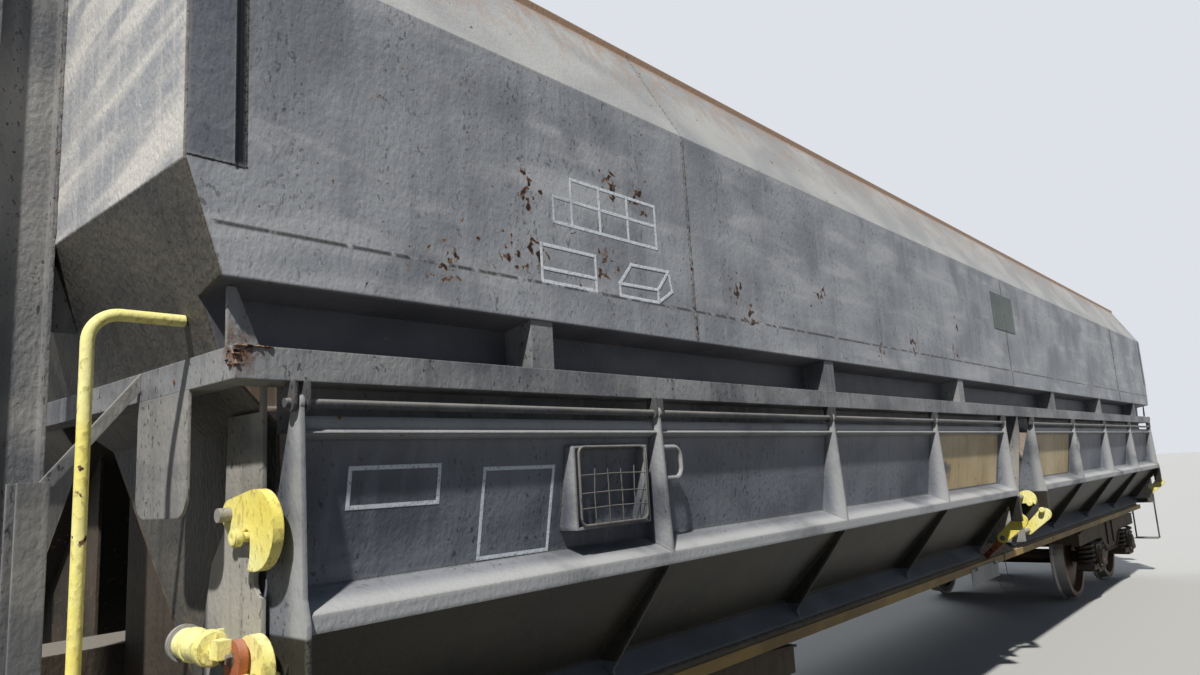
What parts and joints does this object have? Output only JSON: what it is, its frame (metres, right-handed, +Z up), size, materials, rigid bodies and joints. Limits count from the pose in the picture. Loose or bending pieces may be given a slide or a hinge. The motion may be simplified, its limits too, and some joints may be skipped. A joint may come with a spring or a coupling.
{
  "type": "open hopper wagon",
  "caption": "Open-topped bogie hopper wagon with a saddle floor, side discharge doors hinged at the top, claw locks, buffers and draw hooks.",
  "frame": {"origin": "under the middle of the wagon, at the level of the wheel flange tips, 28 mm below the rail head", "axes": "+X along the wagon, +Y across it to its left, +Z up"},
  "size_m": [14.54, 2.99, 3.6278],
  "materials": {
    "body_grey": "weathered dark grey paint, dusty, with rust spots",
    "signal_yellow": "pale yellow paint, chipped",
    "bogie_brown": "dark paint under brake dust and grease",
    "wheel_steel": "rusty wheel steel with a bright tread",
    "red_lever": "red-brown primer, chipped",
    "worn_steel": "greased and worn steel"
  },
  "bodies": {
    "root": {"hopper_side_left": "body_grey", "hopper_side_right": "body_grey", "hopper_end_front": "body_grey", "hopper_end_rear": "body_grey", "saddle_floor": "body_grey", "middle_saddle": "body_grey", "sill_rail_left": "body_grey", "sill_rail_right": "body_grey", "end_beams": "body_grey", "stub_posts": "body_grey", "cross_ties": "body_grey", "end_posts": "body_grey", "corner_plates": "body_grey", "shield_plates": "body_grey", "channel_posts": "body_grey", "centre_sill": "body_grey", "headstocks": "body_grey", "cross_bearers": "body_grey", "pivot_plates": "body_grey", "buffer_housings": "worn_steel", "buffer_heads": "worn_steel", "draw_hooks": "worn_steel", "handrails": "signal_yellow", "hinge_bar_left": "body_grey", "hinge_bar_right": "body_grey", "lock_shafts": "body_grey", "brake_cylinder": "bogie_brown", "air_reservoir": "bogie_brown", "closing_rods": "signal_yellow", "lock_levers": "red_lever", "steps": "body_grey"},
    "bogie_rear": {"bogie_frame_rear": "bogie_brown", "axleboxes_rear": "bogie_brown", "springs_rear": "bogie_brown", "brake_blocks_rear": "bogie_brown"},
    "wheelset_1": {"wheelset_1": "wheel_steel"},
    "wheelset_2": {"wheelset_2": "wheel_steel"},
    "bogie_front": {"bogie_frame_front": "bogie_brown", "axleboxes_front": "bogie_brown", "springs_front": "bogie_brown", "brake_blocks_front": "bogie_brown"},
    "wheelset_3": {"wheelset_3": "wheel_steel"},
    "wheelset_4": {"wheelset_4": "wheel_steel"},
    "door_front_left": {"door_front_left": "body_grey"},
    "lock_upper_front_left": {"lock_upper_front_left": "signal_yellow"},
    "lock_main_front_left": {"lock_main_front_left": "signal_yellow"},
    "lock_lower_front_left": {"lock_lower_front_left": "signal_yellow"},
    "door_front_right": {"door_front_right": "body_grey"},
    "lock_upper_front_right": {"lock_upper_front_right": "signal_yellow"},
    "lock_main_front_right": {"lock_main_front_right": "signal_yellow"},
    "lock_lower_front_right": {"lock_lower_front_right": "signal_yellow"},
    "door_rear_left": {"door_rear_left": "body_grey"},
    "lock_upper_rear_left": {"lock_upper_rear_left": "signal_yellow"},
    "lock_main_rear_left": {"lock_main_rear_left": "signal_yellow"},
    "lock_lower_rear_left": {"lock_lower_rear_left": "signal_yellow"},
    "door_rear_right": {"door_rear_right": "body_grey"},
    "lock_upper_rear_right": {"lock_upper_rear_right": "signal_yellow"},
    "lock_main_rear_right": {"lock_main_rear_right": "signal_yellow"},
    "lock_lower_rear_right": {"lock_lower_rear_right": "signal_yellow"}
  },
  "joints": [
    {"name": "bogie_rear_swivel", "type": "hinge", "parent": "root", "child": "bogie_rear", "pos_m": [-4.75, 0, 0.958], "axis": [0, 0, 1], "range_deg": [-3.6, 3.6]},
    {"name": "wheelset_1_spin", "type": "hinge", "parent": "bogie_rear", "child": "wheelset_1", "pos_m": [-5.65, 0, 0.488], "axis": [0, 1, 0], "continuous": true},
    {"name": "wheelset_2_spin", "type": "hinge", "parent": "bogie_rear", "child": "wheelset_2", "pos_m": [-3.85, 0, 0.488], "axis": [0, 1, 0], "continuous": true},
    {"name": "bogie_front_swivel", "type": "hinge", "parent": "root", "child": "bogie_front", "pos_m": [4.75, 0, 0.958], "axis": [0, 0, 1], "range_deg": [-3.6, 3.6]},
    {"name": "wheelset_3_spin", "type": "hinge", "parent": "bogie_front", "child": "wheelset_3", "pos_m": [3.85, 0, 0.488], "axis": [0, 1, 0], "continuous": true},
    {"name": "wheelset_4_spin", "type": "hinge", "parent": "bogie_front", "child": "wheelset_4", "pos_m": [5.65, 0, 0.488], "axis": [0, 1, 0], "continuous": true},
    {"name": "door_front_left_hinge", "type": "hinge", "parent": "root", "child": "door_front_left", "pos_m": [3.29, 1.425, 1.953], "axis": [1, 0, 0], "range_deg": [0, 40]},
    {"name": "lock_upper_front_left_turn", "type": "hinge", "parent": "root", "child": "lock_upper_front_left", "pos_m": [6.234, 1.21, 1.69], "axis": [1, 0, 0], "range_deg": [0, 160]},
    {"name": "lock_main_front_left_turn", "type": "hinge", "parent": "root", "child": "lock_main_front_left", "pos_m": [3.29, 1.29, 1.358], "axis": [1, 0, 0], "range_deg": [0, 160]},
    {"name": "lock_lower_front_left_turn", "type": "hinge", "parent": "root", "child": "lock_lower_front_left", "pos_m": [3.29, 1.305, 1.088], "axis": [1, 0, 0], "range_deg": [-120, 0]},
    {"name": "door_front_right_hinge", "type": "hinge", "parent": "root", "child": "door_front_right", "pos_m": [3.29, -1.425, 1.953], "axis": [-1, 0, 0], "range_deg": [0, 40]},
    {"name": "lock_upper_front_right_turn", "type": "hinge", "parent": "root", "child": "lock_upper_front_right", "pos_m": [6.234, -1.21, 1.69], "axis": [-1, 0, 0], "range_deg": [0, 160]},
    {"name": "lock_main_front_right_turn", "type": "hinge", "parent": "root", "child": "lock_main_front_right", "pos_m": [3.29, -1.29, 1.358], "axis": [-1, 0, 0], "range_deg": [0, 160]},
    {"name": "lock_lower_front_right_turn", "type": "hinge", "parent": "root", "child": "lock_lower_front_right", "pos_m": [3.29, -1.305, 1.088], "axis": [-1, 0, 0], "range_deg": [-120, 0]},
    {"name": "door_rear_left_hinge", "type": "hinge", "parent": "root", "child": "door_rear_left", "pos_m": [-3.29, 1.425, 1.953], "axis": [1, 0, 0], "range_deg": [0, 40]},
    {"name": "lock_upper_rear_left_turn", "type": "hinge", "parent": "root", "child": "lock_upper_rear_left", "pos_m": [-6.234, 1.21, 1.69], "axis": [1, 0, 0], "range_deg": [0, 160]},
    {"name": "lock_main_rear_left_turn", "type": "hinge", "parent": "root", "child": "lock_main_rear_left", "pos_m": [-3.29, 1.29, 1.358], "axis": [1, 0, 0], "range_deg": [0, 160]},
    {"name": "lock_lower_rear_left_turn", "type": "hinge", "parent": "root", "child": "lock_lower_rear_left", "pos_m": [-3.29, 1.305, 1.088], "axis": [1, 0, 0], "range_deg": [-120, 0]},
    {"name": "door_rear_right_hinge", "type": "hinge", "parent": "root", "child": "door_rear_right", "pos_m": [-3.29, -1.425, 1.953], "axis": [-1, 0, 0], "range_deg": [0, 40]},
    {"name": "lock_upper_rear_right_turn", "type": "hinge", "parent": "root", "child": "lock_upper_rear_right", "pos_m": [-6.234, -1.21, 1.69], "axis": [-1, 0, 0], "range_deg": [0, 160]},
    {"name": "lock_main_rear_right_turn", "type": "hinge", "parent": "root", "child": "lock_main_rear_right", "pos_m": [-3.29, -1.29, 1.358], "axis": [-1, 0, 0], "range_deg": [0, 160]},
    {"name": "lock_lower_rear_right_turn", "type": "hinge", "parent": "root", "child": "lock_lower_rear_right", "pos_m": [-3.29, -1.305, 1.088], "axis": [-1, 0, 0], "range_deg": [-120, 0]}
  ],
  "couplings": [
    {"joint": "lock_upper_front_left_turn", "follows": "door_front_left_hinge", "ratio": 4},
    {"joint": "lock_main_front_left_turn", "follows": "door_front_left_hinge", "ratio": 4},
    {"joint": "lock_lower_front_left_turn", "follows": "door_front_left_hinge", "ratio": -3},
    {"joint": "lock_upper_front_right_turn", "follows": "door_front_right_hinge", "ratio": 4},
    {"joint": "lock_main_front_right_turn", "follows": "door_front_right_hinge", "ratio": 4},
    {"joint": "lock_lower_front_right_turn", "follows": "door_front_right_hinge", "ratio": -3},
    {"joint": "lock_upper_rear_left_turn", "follows": "door_rear_left_hinge", "ratio": 4},
    {"joint": "lock_main_rear_left_turn", "follows": "door_rear_left_hinge", "ratio": 4},
    {"joint": "lock_lower_rear_left_turn", "follows": "door_rear_left_hinge", "ratio": -3},
    {"joint": "lock_upper_rear_right_turn", "follows": "door_rear_right_hinge", "ratio": 4},
    {"joint": "lock_main_rear_right_turn", "follows": "door_rear_right_hinge", "ratio": 4},
    {"joint": "lock_lower_rear_right_turn", "follows": "door_rear_right_hinge", "ratio": -3}
  ]
}
